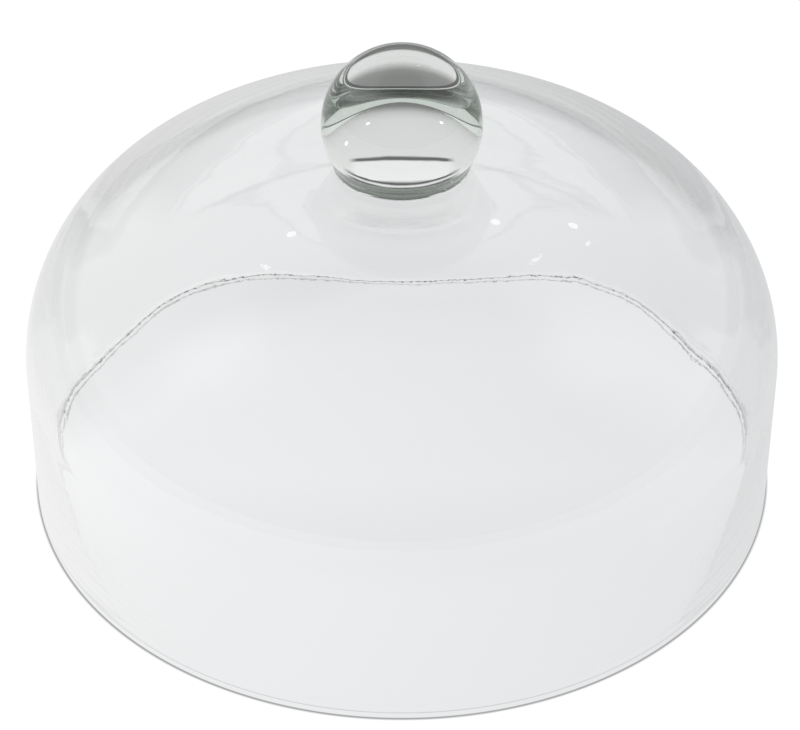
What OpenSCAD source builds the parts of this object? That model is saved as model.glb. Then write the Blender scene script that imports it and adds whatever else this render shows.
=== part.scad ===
// Clear glass dome for a buffet: a blown shell, and a ball knob that is bonded to its crown by a ring foot.
// Origin: middle of the rim plane, +Z up. Millimetres.

/* [Dome outside] */
// Diameter over the rim
rim_d = 285; // [250:1:330]
// Height of the straight wall, up to where the shoulder begins
wall_h = 57.5; // [45:0.5:65]
// Radius of the shoulder, in section
shoulder_r = 66.5; // [56:0.5:72]
// Height of the crown's top over the level that the shoulder's arc alone would reach
crown_rise = 20; // [14:0.5:28]

/* [Glass thickness] */
// Thickness of the wall where the shoulder begins
wall_t = 3; // [2.4:0.1:4]
// Thickness of the wall at the rim, where it is heavier
rim_t = 5.6; // [4.6:0.1:7]
// Thickness of the crown under the knob, where the glass is heaviest
crown_t = 11; // [9:0.1:13]
// Diameter of the level area inside the crown
inner_flat_d = 67; // [50:1:84]
// Length by which the shoulder's radius is smaller on the inside
shoulder_r_less = 11.2; // [8:0.1:14]
// Radius of the two fire-polished edges of the rim
rim_edge_r = 0.5; // [0.3:0.1:1.5]

/* [Knob] */
// Diameter of the ball
ball_d = 58.5; // [54:0.5:64]
// Height of the ball's middle over the top of the crown
ball_mid_h = 14.6; // [13:0.1:16]
// Depth of the ball's lower edge under its middle, where the upright foot begins
foot_drop = 14.4; // [13:0.1:15.5]
// Thickness of the ring foot that stands on the crown
foot_t = 1.5; // [1:0.1:3]
// Height of the hollow's edge over the ball's lower edge
hollow_edge_h = 4; // [2.5:0.1:5]
// Height by which the hollow's ceiling rises from its edge to its middle
hollow_rise = 1; // [0.5:0.1:2]

/* [Hidden] */
// Length by which a cutting shape passes the face that it opens
overrun = 5;

rim_r = rim_d / 2;
crown_h = wall_h + shoulder_r + crown_rise;
inner_r = rim_r - wall_t;
inner_shoulder_r = shoulder_r - shoulder_r_less;
inner_crown_h = crown_h - crown_t;
inner_flat_r = inner_flat_d / 2;

// Inside, the wall is one wide arc that is tangent to the shoulder and comes in by rim_in at the rim.
rim_in = rim_t - wall_t;
wall_arc_r = (wall_h * wall_h + rim_in * rim_in) / (2 * rim_in);
wall_arc_x = inner_r - wall_arc_r;

// A bell's crown is one arc, tangent to its shoulder and level where it ends at flat_r.
function crown_radius(r, wall, arc, top, flat_r) =
    let (run = r - arc - flat_r, rise = top - wall)
    (run * run + rise * rise - arc * arc) / (2 * (rise - arc));

crown_r = crown_radius(rim_r, wall_h, shoulder_r, crown_h, 0);
crown_mid_z = crown_h - crown_r;
function crown_z(r) = crown_mid_z + sqrt(crown_r * crown_r - r * r);

// The ball ends at foot_z in an upright ring foot. Inside the foot its underside is hollow.
ball_r = ball_d / 2;
ball_z = crown_h + ball_mid_h;
foot_z = ball_z - foot_drop;
foot_r = sqrt(ball_r * ball_r - foot_drop * foot_drop);
hollow_r = foot_r - foot_t;
hollow_z = foot_z + hollow_edge_h + hollow_rise;
hollow_arc_r = (hollow_r * hollow_r + hollow_rise * hollow_rise) / (2 * hollow_rise);

glass = [0.86, 0.9, 0.87, 0.35];
knob_glass = [0.8, 0.86, 0.82, 0.6];

$fn = 160;

// Half section of a solid bell over its wall: shoulder, crown, level top, down to z = -below in the middle.
// The shoulder's arc and the crown's arc meet on the line through both their middles, where they are tangent.
module bell_section(r, arc, top, flat_r, below) {
    big_r = crown_radius(r, wall_h, arc, top, flat_r);
    mid = [r - arc, wall_h];
    along = [mid[0] - flat_r, wall_h - top + big_r] / (big_r - arc);
    seam_end = mid + (arc + overrun) * along;
    intersection() {
        translate(mid)
            circle(arc);
        polygon([mid, seam_end, [r + overrun, seam_end[1]], [r + overrun, wall_h]]);
    }
    intersection() {
        translate([flat_r, top - big_r])
            circle(big_r);
        polygon([
            [flat_r, -below], [flat_r, top + overrun], [seam_end[0], top + overrun],
            seam_end, mid, [mid[0], -below]
        ]);
    }
    if (flat_r > 0)
        translate([0, -below])
            square([flat_r, top + below]);
}

// What a round edge of the rim leaves of its corner. The edge touches the wall on the side that points to wall_side.
module rim_edge_waste(mid, wall_side) {
    side_end = mid + (rim_edge_r + overrun) * wall_side;
    difference() {
        polygon([mid, side_end, [side_end[0], -overrun], [mid[0], -overrun]]);
        translate(mid)
            circle(rim_edge_r);
    }
}

// The blown shell, thick at the crown and heavy at the rim, open below.
module dome() {
    edge_to_wall = wall_arc_r + rim_edge_r;
    inner_edge_x = wall_arc_x + sqrt(pow(edge_to_wall, 2) - pow(wall_h - rim_edge_r, 2));
    inner_edge = [inner_edge_x, rim_edge_r];
    color(glass)
        rotate_extrude()
            difference() {
                union() {
                    square([rim_r, wall_h]);
                    bell_section(rim_r, shoulder_r, crown_h, 0, 0);
                }
                intersection() {
                    translate([wall_arc_x, wall_h])
                        circle(wall_arc_r);
                    translate([0, -overrun])
                        square([inner_r, wall_h + overrun]);
                }
                bell_section(inner_r, inner_shoulder_r, inner_crown_h, inner_flat_r, overrun);
                rim_edge_waste(inner_edge, ([wall_arc_x, wall_h] - inner_edge) / edge_to_wall);
                rim_edge_waste([rim_r - rim_edge_r, rim_edge_r], [1, 0]);
            }
}

// The ball and its ring foot, which fits the crown's curve. The hollow between them holds air, closed by the crown.
module knob() {
    below_z = crown_h - overrun;
    color(knob_glass)
        rotate_extrude()
            difference() {
                union() {
                    intersection() {
                        translate([0, ball_z])
                            circle(ball_r);
                        translate([0, foot_z])
                            square([ball_r + overrun, foot_drop + ball_r + overrun]);
                    }
                    translate([0, below_z])
                        square([foot_r, foot_z - below_z]);
                }
                intersection() {
                    translate([0, hollow_z - hollow_arc_r])
                        circle(hollow_arc_r);
                    translate([0, below_z - overrun])
                        square([hollow_r, hollow_z - below_z + 2 * overrun]);
                }
                translate([0, crown_mid_z])
                    circle(crown_r);
            }
}

dome();
knob();
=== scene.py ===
# %% [markdown]
# A glass dome for a buffet
#
# The real object is a blown glass shell with a glass ball on top. Nothing moves and nothing on the glass
# is painted: all that the eye gets is how the glass bends what is behind it. So this lesson is about
# three things, which are a section with the true thickness of the glass, a surround with painted light
# and shade that gives the glass something to bend, and a camera that stands where the photograph was
# taken. The imported CAD model comes in first, because the pieces made here take the place of its nodes
# and keep its size.

# %% Load the imported frame
import math

import bmesh
import bpy
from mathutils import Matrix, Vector


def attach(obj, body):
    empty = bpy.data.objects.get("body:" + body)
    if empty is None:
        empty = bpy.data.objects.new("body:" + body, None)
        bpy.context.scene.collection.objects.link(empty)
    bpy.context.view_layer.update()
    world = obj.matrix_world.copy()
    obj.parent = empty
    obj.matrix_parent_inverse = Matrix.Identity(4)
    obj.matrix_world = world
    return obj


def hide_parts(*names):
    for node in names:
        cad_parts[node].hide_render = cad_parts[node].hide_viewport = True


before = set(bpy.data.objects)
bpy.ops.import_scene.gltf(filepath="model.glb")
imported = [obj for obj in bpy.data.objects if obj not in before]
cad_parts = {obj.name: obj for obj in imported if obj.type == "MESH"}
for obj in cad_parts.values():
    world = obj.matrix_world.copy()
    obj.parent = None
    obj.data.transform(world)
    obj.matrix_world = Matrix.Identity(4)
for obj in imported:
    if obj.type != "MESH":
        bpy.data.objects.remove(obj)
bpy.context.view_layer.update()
scene = bpy.context.scene

# %% [markdown]
# Sizes
#
# These are the named sizes of the part's source, in millimetres. Blender works in metres, so each one is
# multiplied once, here, and never again. The bell's crown is one arc that is tangent to its shoulder, and
# the rule for its radius is the same on the outside and on the inside of the glass.

# %% Sizes of the glass
MM = 0.001
rim_r = 142.5 * MM
wall_h = 57.5 * MM
shoulder_r = 66.5 * MM
crown_rise = 20 * MM
wall_t = 3 * MM
rim_t = 5.6 * MM
crown_t = 11 * MM
inner_flat_r = 33.5 * MM
shoulder_r_less = 11.2 * MM
rim_edge_r = 0.5 * MM
ball_r = 29.25 * MM
ball_mid_h = 14.6 * MM
foot_drop = 14.4 * MM
foot_t = 1.5 * MM
hollow_edge_h = 4 * MM
hollow_rise = 1 * MM
crown_h = wall_h + shoulder_r + crown_rise
print("top of the crown", round(crown_h / MM, 2), "mm")


# %% Sizes that follow
def crown_radius(r, wall, arc, top, flat):
    run = r - arc - flat
    rise = top - wall
    return (run * run + rise * rise - arc * arc) / (2 * (rise - arc))


crown_r = crown_radius(rim_r, wall_h, shoulder_r, crown_h, 0)


def crown_z(r):
    return crown_h - crown_r + math.sqrt(crown_r * crown_r - r * r)


inner_r = rim_r - wall_t
inner_crown_h = crown_h - crown_t
rim_in = rim_t - wall_t
wall_arc_r = (wall_h * wall_h + rim_in * rim_in) / (2 * rim_in)
wall_arc_x = inner_r - wall_arc_r
ball_z = crown_h + ball_mid_h
foot_z = ball_z - foot_drop
foot_r = math.sqrt(ball_r * ball_r - foot_drop * foot_drop)
hollow_r = foot_r - foot_t
hollow_z = foot_z + hollow_edge_h + hollow_rise
hollow_arc_r = (hollow_r * hollow_r + hollow_rise * hollow_rise) / (2 * hollow_rise)
print("crown radius", round(crown_r / MM, 1), "mm, top of the knob", round((ball_z + ball_r) / MM, 2), "mm")

# %% [markdown]
# The camera
#
# A photograph of a round rim gives the camera away: the rim is a circle, so its ellipse tells how steeply
# the camera looks down, and the way the wall narrows towards the table tells how near it is. A long lens
# from 1.15 m at nearly 39 degrees fits both. The lens is worked out for a frame 800 pixels wide.

# %% Camera
camera_data = bpy.data.cameras.new("camera")
camera_data.sensor_width = 36
camera_data.lens = 134.9
camera_data.clip_start = 0.01
camera = bpy.data.objects.new("camera", camera_data)
scene.collection.objects.link(camera)
scene.camera = camera
look_at = Vector((-0.69, 0, 47)) * MM
tilt = math.radians(38.8)
camera_distance = 1.15
camera.location = look_at + camera_distance * Vector((0, -math.cos(tilt), math.sin(tilt)))
camera.rotation_euler = (look_at - camera.location).to_track_quat("-Z", "Y").to_euler()
print("camera at", [round(v, 3) for v in camera.location], "lens", camera_data.lens, "mm")

# %% [markdown]
# Helpers for node trees
#
# Materials, the world and Geometry Nodes are all node trees, and each tree below is built in code. Three
# small helpers keep that readable. One adds a node with its plain values and its links, one adds a Math
# node, and one makes a material with an empty tree.


# %% Node helpers
def add_node(tree, kind, links=None, **values):
    node = tree.nodes.new(kind)
    for name, value in values.items():
        setattr(node, name, value)
    for key, source in (links or {}).items():
        if isinstance(source, bpy.types.NodeSocket):
            tree.links.new(source, node.inputs[key])
        else:
            node.inputs[key].default_value = source
    return node


def math_node(tree, operation, a, b=None):
    links = {0: a} if b is None else {0: a, 1: b}
    return add_node(tree, "ShaderNodeMath", links, operation=operation).outputs[0]


def empty_material(name):
    made = bpy.data.materials.new(name)
    made.use_nodes = True
    made.node_tree.nodes.clear()
    return made, made.node_tree


print("node helpers ready")

# %% [markdown]
# The glass
#
# Clear soda glass has an index of about 1.52. What little colour it has comes from iron, so it is a faint
# green that deepens with the way that light goes through it: hardly seen in the thin wall, plain in the
# knob. A tint on the surface would be the same for both, so Volume Absorption is used. Lamps shine
# through the glass onto the table, which a path tracer finds hard, so for shadow rays the surface is
# simply transparent. The grain is a fine unevenness inside the shell, which makes thin lines look frayed.

# %% Glass material
glass_index = 1.52
shadow_tint = (0.94, 0.95, 0.945, 1)
grain_scale = 350.0


def glass_material(name, tint, density, grain):
    made, tree = empty_material(name)
    clear = add_node(tree, "ShaderNodeBsdfPrincipled")
    if grain:
        spot = add_node(tree, "ShaderNodeTexCoord").outputs["Object"]
        noise = add_node(tree, "ShaderNodeTexNoise", {"Vector": spot, "Scale": grain_scale, "Detail": 2.0})
        share = add_node(tree, "ShaderNodeAttribute", attribute_name="ripple_share").outputs["Fac"]
        uneven = add_node(tree, "ShaderNodeBump",
                          {"Strength": share, "Distance": grain, "Height": noise.outputs[0]})
        tree.links.new(uneven.outputs[0], clear.inputs["Normal"])
    clear.inputs["Base Color"].default_value = (1, 1, 1, 1)
    clear.inputs["Roughness"].default_value = 0
    clear.inputs["IOR"].default_value = glass_index
    clear.inputs["Transmission Weight"].default_value = 1
    passing = add_node(tree, "ShaderNodeBsdfTransparent")
    passing.inputs["Color"].default_value = shadow_tint
    path = add_node(tree, "ShaderNodeLightPath")
    surface = add_node(tree, "ShaderNodeMixShader",
                       {0: path.outputs["Is Shadow Ray"], 1: clear.outputs[0], 2: passing.outputs[0]})
    inside = add_node(tree, "ShaderNodeVolumeAbsorption")
    inside.inputs["Color"].default_value = (*tint, 1)
    inside.inputs["Density"].default_value = density
    add_node(tree, "ShaderNodeOutputMaterial", {"Surface": surface.outputs[0], "Volume": inside.outputs[0]})
    return made


iron_green = (0.72, 0.80, 0.74)
dome_glass = glass_material("dome_glass", iron_green, 2.5, 0.010 * MM)
knob_glass = glass_material("knob_glass", iron_green, 5.0, 0.0)
print("glass:", dome_glass.name, knob_glass.name)

# %% [markdown]
# The bond
#
# The knob is joined to the crown by its ring foot. There the two pieces are one body of glass, so light
# goes from one to the other with no mirror between them. Two separate meshes would show a mirror, because
# each has a skin of its own. The faces of the bond get a material that bends nothing, and so does the
# face of the rim that lies on the paper.

# %% Bond material
bond_clear, tree = empty_material("bond_clear")
nothing = add_node(tree, "ShaderNodeBsdfTransparent")
add_node(tree, "ShaderNodeOutputMaterial", {"Surface": nothing.outputs[0]})
print("bond:", bond_clear.name)

# %% [markdown]
# Sections
#
# Both pieces are turned about one axis, so each is fully told by half of its section: a line of points in
# the XZ plane that starts and ends on the axis. The line could be drawn as a curve, but points worked out
# from the sizes follow the CAD model exactly. Each point also says how far the glass may ripple there:
# the shell is smooth outside and uneven inside.


# %% Section helpers
def arc_points(mid_x, mid_z, r, start, end, steps):
    turn = [start + (end - start) * i / steps for i in range(steps + 1)]
    return [(mid_x + r * math.sin(t), mid_z + r * math.cos(t)) for t in turn]


def line_points(a, b, steps):
    return [(a[0] + (b[0] - a[0]) * i / steps, a[1] + (b[1] - a[1]) * i / steps) for i in range(steps + 1)]


def bell_points(r, wall, arc, top, flat, steps):
    big = crown_radius(r, wall, arc, top, flat)
    seam = math.atan2(r - arc - flat, wall - top + big)
    crown = arc_points(flat, top - big, big, 0, seam, steps)
    shoulder = arc_points(r - arc, wall, arc, seam, math.pi / 2, steps)
    return crown + shoulder[1:]


def section_mesh(name, points, ripple):
    made = bpy.data.meshes.new(name)
    made.from_pydata([(x, 0, z) for x, z in points], [(i, i + 1) for i in range(len(points) - 1)], [])
    made.attributes.new("ripple_share", "FLOAT", "POINT").data.foreach_set("value", ripple)
    return made


print("section helpers ready")

# %% [markdown]
# The section of the dome
#
# The line runs down over the outside, round the two edges of the rim and back up the inside. On the crown
# it has a point at each edge of the knob's ring foot, so that the faces of the bond end there. The ripple
# starts at the rim with nothing and has its full height a little above it, so the rim stays round.

# %% Outside of the dome
bell_steps = 56
wall_steps = 20
edge_steps = 6
rest_steps = 4
flat_steps = 10
clear_of_ring = 0.6 * MM
outside = bell_points(rim_r, wall_h, shoulder_r, crown_h, 0, bell_steps)
ring_edges = [(r, crown_z(r)) for r in (hollow_r, foot_r)]
outside = [p for p in outside if min(abs(p[0] - e[0]) for e in ring_edges) > clear_of_ring] + ring_edges
outside.sort(key=lambda p: (p[0], -p[1]))
dome_line = outside + line_points((rim_r, wall_h), (rim_r, rim_edge_r), wall_steps)[1:]
print("outside of the dome:", len(dome_line), "points")

# %% Rim and inside of the dome
quarter_turn = math.pi / 2
half_turn = math.pi
edge_to_wall = wall_arc_r + rim_edge_r
edge_drop = math.asin((wall_h - rim_edge_r) / edge_to_wall)
inner_edge_x = wall_arc_x + edge_to_wall * math.cos(edge_drop)
inner_edge_end = half_turn + quarter_turn + edge_drop
dome_line += arc_points(rim_r - rim_edge_r, rim_edge_r, rim_edge_r, quarter_turn, half_turn, edge_steps)[1:]
dome_line += line_points((rim_r - rim_edge_r, 0), (inner_edge_x, 0), rest_steps)[1:]
dome_line += arc_points(inner_edge_x, rim_edge_r, rim_edge_r, half_turn, inner_edge_end, edge_steps)[1:]
inner_start = len(dome_line)
wall_start = quarter_turn + edge_drop
dome_line += arc_points(wall_arc_x, wall_h, wall_arc_r, wall_start, quarter_turn, wall_steps)[1:]
inner_shoulder_r = shoulder_r - shoulder_r_less
inside_line = bell_points(inner_r, wall_h, inner_shoulder_r, inner_crown_h, inner_flat_r, bell_steps)
dome_line += inside_line[::-1][1:]
dome_line += line_points((inner_flat_r, inner_crown_h), (0, inner_crown_h), flat_steps)[1:]
full_ripple_h = 12 * MM
dome_ripple = [0.0 if i < inner_start else min(1.0, p[1] / full_ripple_h) for i, p in enumerate(dome_line)]
dome_section = section_mesh("dome_section", dome_line, dome_ripple)
print("dome section:", len(dome_line), "points")

# %% [markdown]
# The section of the knob
#
# The line runs over the ball, down the foot, along the crown under the ring, and up into the hollow. A
# film of air far thinner than a hair keeps the ring's faces off the crown's, because a path tracer can't
# tell two faces in one place apart.

# %% Knob section
ball_steps = 96
foot_steps = 4
hollow_steps = 6
ceiling_steps = 40
ball_ripple_share = 0.15
film = 0.02 * MM
ball_end = math.atan2(foot_r, foot_z - ball_z)
ceiling_end = math.asin(hollow_r / hollow_arc_r)
hollow_edge = (hollow_r, foot_z + hollow_edge_h)
knob_line = arc_points(0, ball_z, ball_r, 0, ball_end, ball_steps)
knob_line += line_points((foot_r, foot_z), (foot_r, crown_z(foot_r) + film), foot_steps)[1:]
ball_count = len(knob_line)
knob_line += [(x, crown_z(x) + film) for x, z in line_points((foot_r, 0), (hollow_r, 0), foot_steps)[1:]]
ring_count = len(knob_line)
knob_line += line_points((hollow_r, crown_z(hollow_r) + film), hollow_edge, hollow_steps)[1:]
knob_line += arc_points(0, hollow_z - hollow_arc_r, hollow_arc_r, ceiling_end, 0, ceiling_steps)[1:]
knob_ripple = [ball_ripple_share] * ball_count
knob_ripple += [0.0] * (ring_count - ball_count)
knob_ripple += [1.0] * (len(knob_line) - ring_count)
knob_section = section_mesh("knob_section", knob_line, knob_ripple)
print("knob section:", len(knob_line), "points")

# %% [markdown]
# Turning a section with Geometry Nodes
#
# A lathe is a rule: every point of the section goes once round the axis. The Screw modifier could do
# that, but a tree can also ripple the glass and mark the bond, and with other inputs it serves both
# pieces. It starts from a Mesh Grid with one column for each step round the axis and one row for each
# point of the section.

# %% Inputs of the turning tree
turned_glass = bpy.data.node_groups.new("turned_glass", "GeometryNodeTree")
tree = turned_glass
sockets = tree.interface
sockets.new_socket("Section", in_out="INPUT", socket_type="NodeSocketGeometry")
for name, kind in (("Steps around", "Int"), ("Ripple height", "Float"), ("Ripple size", "Float"),
                   ("Seed", "Float"), ("Bond inside", "Float"), ("Bond radius", "Float"),
                   ("Bond low", "Float"), ("Bond high", "Float"), ("Glass", "Material"),
                   ("Bond", "Material")):
    sockets.new_socket(name, in_out="INPUT", socket_type="NodeSocket" + kind)
sockets.new_socket("Turned", in_out="OUTPUT", socket_type="NodeSocketGeometry")
given = add_node(tree, "NodeGroupInput").outputs
print("sockets:", [socket.name for socket in sockets.items_tree])

# %% Rows and columns of the grid
size = add_node(tree, "GeometryNodeAttributeDomainSize", {0: given["Section"]}, component="MESH")
rows = size.outputs["Point Count"]
columns = math_node(tree, "ADD", given["Steps around"], 1.0)
grid = add_node(tree, "GeometryNodeMeshGrid", {"Vertices X": columns, "Vertices Y": rows}).outputs[0]
index = add_node(tree, "GeometryNodeInputIndex").outputs[0]
column = math_node(tree, "FLOOR", math_node(tree, "DIVIDE", math_node(tree, "ADD", index, 0.5), rows))
row = math_node(tree, "SUBTRACT", index, math_node(tree, "MULTIPLY", column, rows))
print("grid:", len(tree.nodes), "nodes so far")

# %% [markdown]
# Round the axis
#
# Sample Index reads the point of the section that belongs to a vertex's row, and sine and cosine turn it
# by the angle of its column. Merge by Distance then closes the seam and the two poles.


# %% Turn the grid round the axis
def at_row(kind, value):
    links = {"Geometry": given["Section"], "Value": value, "Index": row}
    return add_node(tree, "GeometryNodeSampleIndex", links, data_type=kind, domain="POINT").outputs[0]


seam_gap = 0.002 * MM
place = add_node(tree, "GeometryNodeInputPosition").outputs[0]
named = add_node(tree, "GeometryNodeInputNamedAttribute", {"Name": "ripple_share"}, data_type="FLOAT")
ripple_share = named.outputs[0]
point = add_node(tree, "ShaderNodeSeparateXYZ", {0: at_row("FLOAT_VECTOR", place)}).outputs
angle = math_node(tree, "DIVIDE", math_node(tree, "MULTIPLY", column, 2 * math.pi), given["Steps around"])
x = math_node(tree, "MULTIPLY", point[0], math_node(tree, "COSINE", angle))
y = math_node(tree, "MULTIPLY", point[0], math_node(tree, "SINE", angle))
turned = add_node(tree, "ShaderNodeCombineXYZ", {0: x, 1: y, 2: point[2]}).outputs[0]
kept = add_node(tree, "GeometryNodeStoreNamedAttribute",
                {"Geometry": grid, "Name": "ripple_share", "Value": at_row("FLOAT", ripple_share)},
                data_type="FLOAT", domain="POINT").outputs[0]
lathe = add_node(tree, "GeometryNodeSetPosition", {"Geometry": kept, "Position": turned}).outputs[0]
closed = add_node(tree, "GeometryNodeMergeByDistance", {"Geometry": lathe, "Distance": seam_gap}).outputs[0]
print("lathe:", len(tree.nodes), "nodes so far")

# %% [markdown]
# Ripple
#
# Blown glass is never quite even. Moving the vertices by hand would take long, so a noise with a fixed
# seed moves the surface along its normal, as far as the section allows.

# %% Ripple the surface
scale = math_node(tree, "DIVIDE", 1.0, given["Ripple size"])
noise = add_node(tree, "ShaderNodeTexNoise", {"W": given["Seed"], "Scale": scale, "Detail": 2.0},
                 noise_dimensions="4D", normalize=True).outputs[0]
height = math_node(tree, "MULTIPLY", math_node(tree, "SUBTRACT", noise, 0.5), given["Ripple height"])
allowed = math_node(tree, "MULTIPLY", height, ripple_share)
normal = add_node(tree, "GeometryNodeInputNormal").outputs[0]
push = add_node(tree, "ShaderNodeVectorMath", {0: normal, "Scale": allowed}, operation="SCALE").outputs[0]
wavy = add_node(tree, "GeometryNodeSetPosition", {"Geometry": closed, "Offset": push}).outputs[0]
smooth = add_node(tree, "GeometryNodeSetShadeSmooth", {0: wavy}).outputs[0]
real = add_node(tree, "GeometryNodeRealizeInstances", {0: smooth}).outputs[0]
print("ripple:", len(tree.nodes), "nodes so far")

# %% [markdown]
# Glass and bond
#
# The whole surface gets the glass. Then the faces of the bond get theirs: they are told from the rest by
# their distance from the axis and by their height.

# %% Materials of the turned glass
painted = add_node(tree, "GeometryNodeSetMaterial", {"Geometry": real, "Material": given["Glass"]}).outputs[0]
here = add_node(tree, "ShaderNodeSeparateXYZ", {0: place}).outputs
flat = add_node(tree, "ShaderNodeCombineXYZ", {0: here[0], 1: here[1]}).outputs[0]
away = add_node(tree, "ShaderNodeVectorMath", {0: flat}, operation="LENGTH").outputs["Value"]
near = math_node(tree, "LESS_THAN", away, given["Bond radius"])
past = math_node(tree, "GREATER_THAN", away, given["Bond inside"])
over = math_node(tree, "GREATER_THAN", here[2], given["Bond low"])
under = math_node(tree, "LESS_THAN", here[2], given["Bond high"])
ring = math_node(tree, "MULTIPLY", near, past)
bond = math_node(tree, "MULTIPLY", math_node(tree, "MULTIPLY", ring, over), under)
joined = add_node(tree, "GeometryNodeSetMaterial",
                  {"Geometry": painted, "Selection": bond, "Material": given["Bond"]}).outputs[0]
add_node(tree, "NodeGroupOutput", {0: joined})
print("turning tree:", len(tree.nodes), "nodes")

# %% [markdown]
# From modifier to plain mesh
#
# The tree is a modifier on an object that holds the section. Its inputs are set by their identifiers.
# Then the evaluated result is copied into a plain mesh and the modifier goes, because the export wants
# finished meshes. The normals are recalculated once more, so that the glass knows its inside from its
# outside.


# %% Turn a section into a piece
def turn_piece(name, section, **inputs):
    maker = bpy.data.objects.new(name + "_maker", section)
    scene.collection.objects.link(maker)
    lathe = maker.modifiers.new("turn", "NODES")
    lathe.node_group = turned_glass
    for item in turned_glass.interface.items_tree:
        if item.in_out == "INPUT" and item.name in inputs:
            lathe[item.identifier] = inputs[item.name]
    bpy.context.view_layer.update()
    ready = maker.evaluated_get(bpy.context.evaluated_depsgraph_get())
    mesh = bpy.data.meshes.new_from_object(ready)
    mesh.name = name
    bpy.data.objects.remove(maker)
    work = bmesh.new()
    work.from_mesh(mesh)
    bmesh.ops.recalc_face_normals(work, faces=work.faces)
    open_edges = sum(1 for e in work.edges if not e.is_manifold)
    volume = work.calc_volume(signed=True)
    work.to_mesh(mesh)
    work.free()
    piece = bpy.data.objects.new(name, mesh)
    scene.collection.objects.link(piece)
    print(name, len(mesh.polygons), "faces, open edges", open_edges, "volume", round(volume * 1e6, 1), "cm3")
    return piece


print("ready to turn")

# %% [markdown]
# The dome
#
# The shell takes the dome's section. Its inside ripples by a few tenths of a millimetre over some
# centimetres, which is enough to make the far rim look wavy through the front of the glass. The face of
# the rim that lies on the paper is found by its height.

# %% Dome piece
bond_low = crown_h - 3 * MM
bond_high = crown_h + 1 * MM
touch_h = 0.05 * MM
dome = turn_piece("glass_dome", dome_section, **{
    "Steps around": 256, "Ripple height": 0.7 * MM, "Ripple size": 55 * MM, "Seed": 4.0,
    "Bond inside": hollow_r, "Bond radius": foot_r, "Bond low": bond_low, "Bond high": bond_high,
    "Glass": dome_glass, "Bond": bond_clear})
touch_slot = dome.data.materials.find(bond_clear.name)
touching = [face for face in dome.data.polygons if face.center.z < touch_h]
for face in touching:
    face.material_index = touch_slot
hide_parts("dome")
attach(dome, "root")
print("faces on the paper:", len(touching))

# %% [markdown]
# The knob
#
# The ball works as a strong lens that turns its view upside down. It stands on a ring foot, and the
# closed hollow inside the foot holds air, so the hollow's ceiling is a mirror for all rays that meet it
# at a low angle. Thus the upper half of the ball shows the table, and its lower half shows the room in
# that mirror.

# %% Knob piece
ring_high = crown_z(hollow_r) + 0.1 * MM
knob = turn_piece("glass_knob", knob_section, **{
    "Steps around": 192, "Ripple height": 0.03 * MM, "Ripple size": 9 * MM, "Seed": 2.0,
    "Bond inside": hollow_r, "Bond radius": foot_r, "Bond low": bond_low, "Bond high": ring_high,
    "Glass": knob_glass, "Bond": bond_clear})
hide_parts("knob")
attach(knob, "root")

# %% [markdown]
# Tones
#
# A tone ramp turns a number into a grey, and a choice takes one of two colours by a share. Both are used
# for the table and for the room. Two more helpers tint a colour, and give 1 on a thin line and 0 away
# from it.


# %% Tone helpers
def tone_ramp(tree, source, low, high, tones):
    place = math_node(tree, "DIVIDE", math_node(tree, "SUBTRACT", source, low), high - low)
    ramp = add_node(tree, "ShaderNodeValToRGB", {0: place})
    marks = ramp.color_ramp.elements
    while len(marks) < len(tones):
        marks.new(1.0)
    for mark, (position, tone) in zip(marks, tones):
        mark.position = (position - low) / (high - low)
        mark.color = (tone, tone, tone, 1)
    return ramp.outputs[0]


def choose(tree, share, first, second):
    links = {"Factor": share, 6: first, 7: second}
    return add_node(tree, "ShaderNodeMix", links, data_type="RGBA").outputs[2]


def mix_light(tree, colour, light):
    links = {"Factor": 1.0, 6: colour, 7: light}
    return add_node(tree, "ShaderNodeMix", links, data_type="RGBA", blend_type="MULTIPLY").outputs[2]


def thin_line(tree, source, middle, half_width):
    off = math_node(tree, "ABSOLUTE", math_node(tree, "SUBTRACT", source, middle))
    left = math_node(tree, "SUBTRACT", 1.0, math_node(tree, "DIVIDE", off, half_width))
    return math_node(tree, "MAXIMUM", left, 0.0)


print("tone helpers ready")

# %% [markdown]
# The table
#
# The dome stands on white paper. Clear glass shows nothing but its surround, so the painted shade on
# the paper is most of what is seen here. For rays through the ball the paper is painted much darker than
# for rays through the shell. Which of the two a ray came through is told by how many skins of glass it
# has passed, and by whether it went through the bond.


# %% Which way a ray came to the paper
def at_least(tree, value, count):
    return math_node(tree, "GREATER_THAN", value, count - 0.5)


paper, tree = empty_material("white_paper")
path = add_node(tree, "ShaderNodeLightPath").outputs
skins = path["Transmission Depth"]
spot = add_node(tree, "ShaderNodeNewGeometry").outputs["Position"]
spots = add_node(tree, "ShaderNodeSeparateXYZ", {0: spot})
across = spots.outputs[0]
depth = spots.outputs[1]
flat = add_node(tree, "ShaderNodeVectorMath", {0: spot, 1: (1, 1, 0)}, operation="MULTIPLY").outputs[0]
away = add_node(tree, "ShaderNodeVectorMath", {0: flat}, operation="LENGTH").outputs["Value"]
inner_rim_r = rim_r - rim_t
inner_ring_w = 0.6 * MM
under_dome = math_node(tree, "LESS_THAN", away, rim_r)
inside_rim = math_node(tree, "LESS_THAN", away, inner_rim_r - inner_ring_w)
glassy = at_least(tree, skins, 1)
bonded = at_least(tree, path["Transparent Depth"], 1)
mirrored = at_least(tree, path["Glossy Depth"], 1)
by_ball = math_node(tree, "MAXIMUM", at_least(tree, skins, 3), bonded)
by_ball = math_node(tree, "MULTIPLY", by_ball, inside_rim)
through = math_node(tree, "MAXIMUM", by_ball, at_least(tree, skins, 5))
by_knob = math_node(tree, "MULTIPLY", through, math_node(tree, "SUBTRACT", 1.0, mirrored))
in_knob = math_node(tree, "MULTIPLY", through, mirrored)
print("ways to the paper: bare, through the shell, by a mirror, through the ball, by a mirror in the ball")
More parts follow.
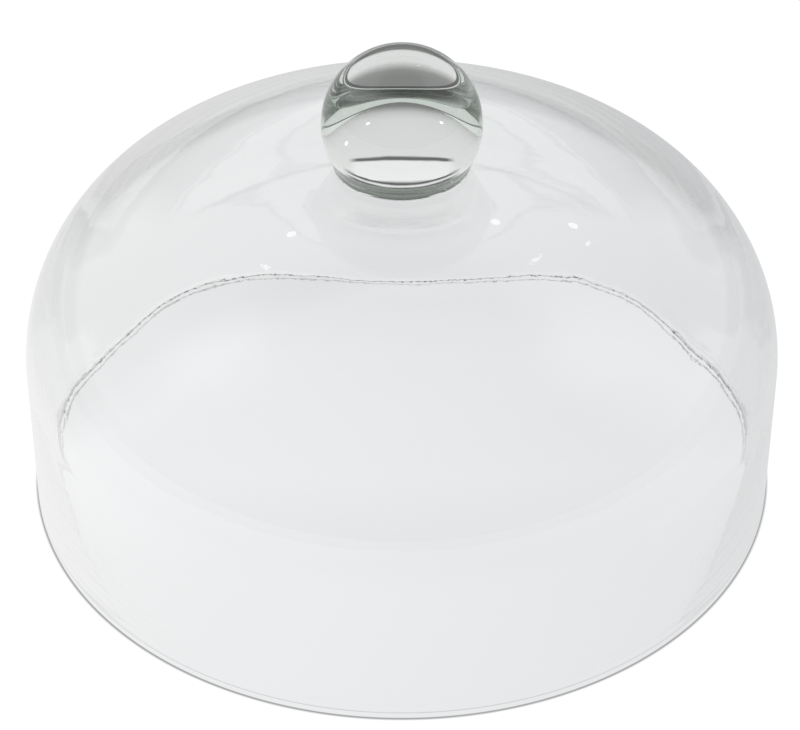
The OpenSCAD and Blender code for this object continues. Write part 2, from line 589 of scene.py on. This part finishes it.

# %% [markdown]
# Painted shade on the paper through the shell
#
# For rays through the glass the paper is painted with shade. Inside the dome it is lightest in the middle,
# a little darker at the left back and to the right, and outside it gets greyer with its distance. Mirrored
# views have painted shade of their own, because the shell mirrors paper that lies further away.

# %% Painted shade on the paper through the shell
white = (1, 1, 1, 1)
left_painted_light = (1.01, 1.012, 1.024, 1)
right_painted_shade = (0.90, 0.91, 0.925, 1)
mirror_right_painted_shade = (0.82, 0.83, 0.84, 1)
# painted shade on the paper under the dome and outside it, seen only through the glass
inner_painted_shade = tone_ramp(tree, depth, -0.15, 0.15, [
    (-0.15, 0.85), (-0.06, 0.86), (0.0, 0.91), (0.06, 0.89), (0.11, 0.85), (0.15, 0.83)])
left_back = math_node(tree, "MULTIPLY", math_node(tree, "SUBTRACT", depth, across), math.sqrt(0.5))
left_shade = tone_ramp(tree, left_back, 0.0, 0.2, [(0.095, 1.0), (0.12, 0.92)])
inner_painted_shade = mix_light(tree, inner_painted_shade, left_shade)
outer_painted_shade = tone_ramp(tree, away, 0.14, 1.0, [
    (0.14, 0.85), (0.20, 0.87), (0.26, 0.86), (0.40, 0.66), (1.0, 0.62)])
shell_painted_shade = choose(tree, under_dome, outer_painted_shade, inner_painted_shade)
# painted light on the left and painted shade on the right of the paper seen through the shell
lean = tone_ramp(tree, across, -0.3, 0.3, [(-0.15, 0.0), (0.15, 1.0)])
left_shell_painted_light = mix_light(tree, shell_painted_shade, left_painted_light)
right_shell_painted_shade = mix_light(tree, shell_painted_shade, right_painted_shade)
shell_painted_shade = choose(tree, lean, left_shell_painted_light, right_shell_painted_shade)
# painted shade on the paper seen by a mirror in the shell, darker to the right
mirror_painted_shade = tone_ramp(tree, away, 0.14, 1.0, [(0.14, 0.88), (0.22, 0.86), (0.32, 0.70), (1.0, 0.65)])
mirror_painted_shade = choose(tree, lean, mirror_painted_shade, mix_light(tree, mirror_painted_shade, mirror_right_painted_shade))
seen = choose(tree, glassy, white, shell_painted_shade)
seen = choose(tree, mirrored, seen, mirror_painted_shade)
print("shell tones ready")

# %% [markdown]
# Painted shade on the paper through the ball
#
# For rays through the ball the paper is painted with shade. The upper half of the ball shows the paper
# from the dome's middle backwards, painted dark at the middle, light over a few centimetres, and dark
# again. What its mirror shows of the paper is painted nearly black in the middle.

# %% Painted shade on the paper through the ball
# painted shade on the paper, seen only through the ball and by its mirror
ball_painted_shade = tone_ramp(tree, depth, 0.0, 0.15, [
    (0.0, 0.08), (0.014, 0.08), (0.024, 0.86), (0.06, 0.80), (0.070, 0.56), (0.082, 0.26), (0.095, 0.22),
    (0.15, 0.20)])
deep_painted_shade = tone_ramp(tree, across, -0.3, 0.3, [
    (-0.19, 0.08), (-0.15, 0.25), (-0.09, 0.16), (-0.05, 0.07), (0.0, 0.03), (0.12, 0.05), (0.20, 0.3),
    (0.30, 0.6)])
seen = choose(tree, by_knob, seen, ball_painted_shade)
seen = choose(tree, in_knob, seen, deep_painted_shade)
print("ball tones ready")

# %% [markdown]
# Rings of shade
#
# Where the rim touches the paper, hardly any light gets in. So there is one thin dark ring under the
# outer edge of the rim and a fainter one under its inner edge. Both are weak for mirrored views, or else
# the wall would repeat them many times.

# %% Shade under the rim
outer_ring_w = 1.0 * MM
inner_ring_share = 0.55
mirrored_share = (0.1, 0.1, 0.1, 1)
ring_colour = (0.04, 0.045, 0.045, 1)
outer_ring = thin_line(tree, away, rim_r, outer_ring_w)
inner_ring = math_node(tree, "MULTIPLY", thin_line(tree, away, inner_rim_r, inner_ring_w), inner_ring_share)
shade = math_node(tree, "MAXIMUM", outer_ring, inner_ring)
plain_share = tone_ramp(tree, depth, -0.15, 0.15, [(-0.02, 0.75), (0.04, 1.0)])
shade = math_node(tree, "MULTIPLY", shade, choose(tree, mirrored, plain_share, mirrored_share))
seen = choose(tree, shade, seen, ring_colour)
print("rings of shade at", round(rim_r / MM, 1), "and", round(inner_rim_r / MM, 1), "mm")

# %% [markdown]
# Paper that shines
#
# Lamps strong enough for white paper would burn out the spots on the glass. So the paper shines by itself
# for camera, mirror and glass rays, and a small share of plain diffuse paper on top keeps the shadow. All
# other rays meet plain pale paper. The table lies a hair under the rim.

# %% Paper and table
shine = add_node(tree, "ShaderNodeEmission", {"Color": seen, "Strength": 1.0})
plain = add_node(tree, "ShaderNodeBsdfDiffuse")
plain.inputs["Color"].default_value = (0.06, 0.06, 0.06, 1)
both = add_node(tree, "ShaderNodeAddShader", {0: shine.outputs[0], 1: plain.outputs[0]})
bounce = add_node(tree, "ShaderNodeBsdfDiffuse")
bounce.inputs["Color"].default_value = (0.8, 0.8, 0.8, 1)
seen_ray = math_node(tree, "MAXIMUM", path["Is Camera Ray"], path["Is Glossy Ray"])
seen_ray = math_node(tree, "MAXIMUM", seen_ray, path["Is Transmission Ray"])
mixed = add_node(tree, "ShaderNodeMixShader", {0: seen_ray, 1: bounce.outputs[0], 2: both.outputs[0]})
add_node(tree, "ShaderNodeOutputMaterial", {"Surface": mixed.outputs[0]})
half = 4.0
drop = -0.2 * MM
corners = [(-half, -half, drop), (half, -half, drop), (half, half, drop), (-half, half, drop)]
table_mesh = bpy.data.meshes.new("table")
table_mesh.from_pydata(corners, [], [(0, 1, 2, 3)])
table_mesh.materials.append(paper)
table = bpy.data.objects.new("table", table_mesh)
scene.collection.objects.link(table)
print("table of", 2 * half, "m")

# %% [markdown]
# The room
#
# Glass is seen by its dark and light edges, and those are pictures of the room. A modelled room would be
# slow, so the world paints one by direction. Heights are given as the upward part of a direction: 0 is
# level and 1 is straight up. The walls are grey near the table, light above and dark up high. Views
# through the glass get a darker wall behind the table, with a dark rail on it.

# %% Directions in the room
world = bpy.data.worlds.new("room")
scene.world = world
world.use_nodes = True
tree = world.node_tree
tree.nodes.clear()
path = add_node(tree, "ShaderNodeLightPath").outputs
skins = path["Transmission Depth"]
way = add_node(tree, "ShaderNodeTexCoord").outputs["Generated"]
ways = add_node(tree, "ShaderNodeSeparateXYZ", {0: way})
rise = ways.outputs[2]
level = add_node(tree, "ShaderNodeVectorMath", {0: way, 1: (1, 1, 0)}, operation="MULTIPLY").outputs[0]
level = add_node(tree, "ShaderNodeVectorMath", {0: level}, operation="LENGTH").outputs["Value"]
least_level = 0.001
behind = math_node(tree, "DIVIDE", ways.outputs[1], math_node(tree, "MAXIMUM", level, least_level))
print("directions: how far up, and how far behind the table")

# %% Walls of the room
low_wall = [(0.0, 0.45), (0.095, 0.45), (0.15, 0.90)]
dark_panel = [(0.0, 0.10), (0.405, 0.10), (0.413, 0.85)]
dark_rail = [(0.420, 0.85), (0.428, 0.08), (0.443, 0.08)]
high_wall = [(0.456, 0.80), (0.80, 0.78), (0.85, 0.66), (0.91, 0.26), (1.0, 0.22)]
side_wall = tone_ramp(tree, rise, 0.0, 1.0, low_wall + high_wall)
back_wall = tone_ramp(tree, rise, 0.0, 1.0, dark_panel + dark_rail + high_wall)
in_glass = at_least(tree, skins, 2)
in_back = tone_ramp(tree, behind, 0.7, 1.0, [(0.78, 0.0), (0.88, 1.0)])
wall = choose(tree, math_node(tree, "MULTIPLY", in_glass, in_back), side_wall, back_wall)
print("walls ready")

# %% [markdown]
# The window
#
# The hollow under the ball is a mirror that shows the wall behind the table upside down. What it shows
# there is a bright window with one dark bar across it. The window sags a little to both sides, so that
# the bar looks nearly straight in the ball.

# %% Window
window_low = 0.44
window_high = 0.60
window_sag = 0.35
aside = math_node(tree, "SUBTRACT", 1.0, behind)
bent = math_node(tree, "ADD", rise, math_node(tree, "MULTIPLY", aside, window_sag))
window = tone_ramp(tree, bent, 0.4, 0.7, [
    (0.44, 0.10), (0.458, 0.92), (0.565, 0.90), (0.573, 0.13), (0.583, 0.13), (0.593, 0.78)])
window_share = tone_ramp(tree, behind, 0.8, 1.0, [(0.84, 0.0), (0.90, 1.0)])
low = math_node(tree, "LESS_THAN", bent, window_high)
high = math_node(tree, "GREATER_THAN", rise, window_low)
in_window = math_node(tree, "MULTIPLY", math_node(tree, "MULTIPLY", low, high), window_share)
sky = choose(tree, in_window, wall, window)
print("window ready")

# %% [markdown]
# What each ray gets of the room
#
# The side where the camera stands is dark. Rays that glass has bent and nothing has mirrored get a room
# that is dark down low, because the ball has a dark outline in the photograph. Rays that have passed
# three or more skins get a dull green. The camera itself sees white.

# %% What each ray gets
front_colour = (0.16, 0.16, 0.16, 1)
deep_colour = (0.20, 0.23, 0.20, 1)
front = tone_ramp(tree, behind, -1.0, 1.0, [(-0.30, 1.0), (0.15, 0.0)])
sky = choose(tree, front, sky, front_colour)
edge_sky = tone_ramp(tree, rise, 0.0, 1.0, [(0.0, 0.08), (0.40, 0.10), (0.50, 0.40), (1.0, 0.50)])
not_mirrored = math_node(tree, "SUBTRACT", 1.0, at_least(tree, path["Glossy Depth"], 1))
sky = choose(tree, math_node(tree, "MULTIPLY", not_mirrored, in_glass), sky, edge_sky)
sky = choose(tree, at_least(tree, skins, 3), sky, deep_colour)
shown = choose(tree, path["Is Camera Ray"], sky, white)
back = add_node(tree, "ShaderNodeBackground", {"Color": shown, "Strength": 1.0})
add_node(tree, "ShaderNodeOutputWorld", {"Surface": back.outputs[0]})
print("room:", len(tree.nodes), "nodes")

# %% [markdown]
# The lamps
#
# The small bright spots on the knob tell where lamps stood: behind the table at both sides, and one lower
# at the right. They are small and weak, because the paper and the room shine by themselves.

# %% Lamps
lamp_aim = Vector((0, 0, 0.15))
lamp_distance = 1.2
lamp_width = 0.035
lamp_watts = 0.009


def spot_lamp(name, azimuth, height):
    lamp = bpy.data.lights.new(name, "AREA")
    lamp.shape = "DISK"
    lamp.size = lamp_width
    lamp.energy = lamp_watts
    made = bpy.data.objects.new(name, lamp)
    scene.collection.objects.link(made)
    a = math.radians(azimuth)
    e = math.radians(height)
    towards = Vector((math.cos(e) * math.sin(a), math.cos(e) * math.cos(a), math.sin(e)))
    made.location = lamp_aim + lamp_distance * towards
    made.rotation_euler = (-towards).to_track_quat("-Z", "Y").to_euler()
    print(name, "at", [round(v, 2) for v in made.location])


spot_lamp("lamp_right", 25, 50)
spot_lamp("lamp_left", -31, 51)
spot_lamp("lamp_low_right", 37, 39)

# %% [markdown]
# Light paths
#
# A view through this dome passes up to six skins of glass, and light can run round inside the knob and
# the rim for long. Paths that are cut short leave dark smears there, so they may be very long.

# %% Render settings of the scene
path_limit = 256
clear_limit = 64
scene.view_settings.view_transform = "Standard"
scene.cycles.max_bounces = path_limit
scene.cycles.transmission_bounces = path_limit
scene.cycles.glossy_bounces = path_limit
scene.cycles.transparent_max_bounces = clear_limit
scene.cycles.caustics_refractive = True
print("paths up to", scene.cycles.max_bounces, "bounces")
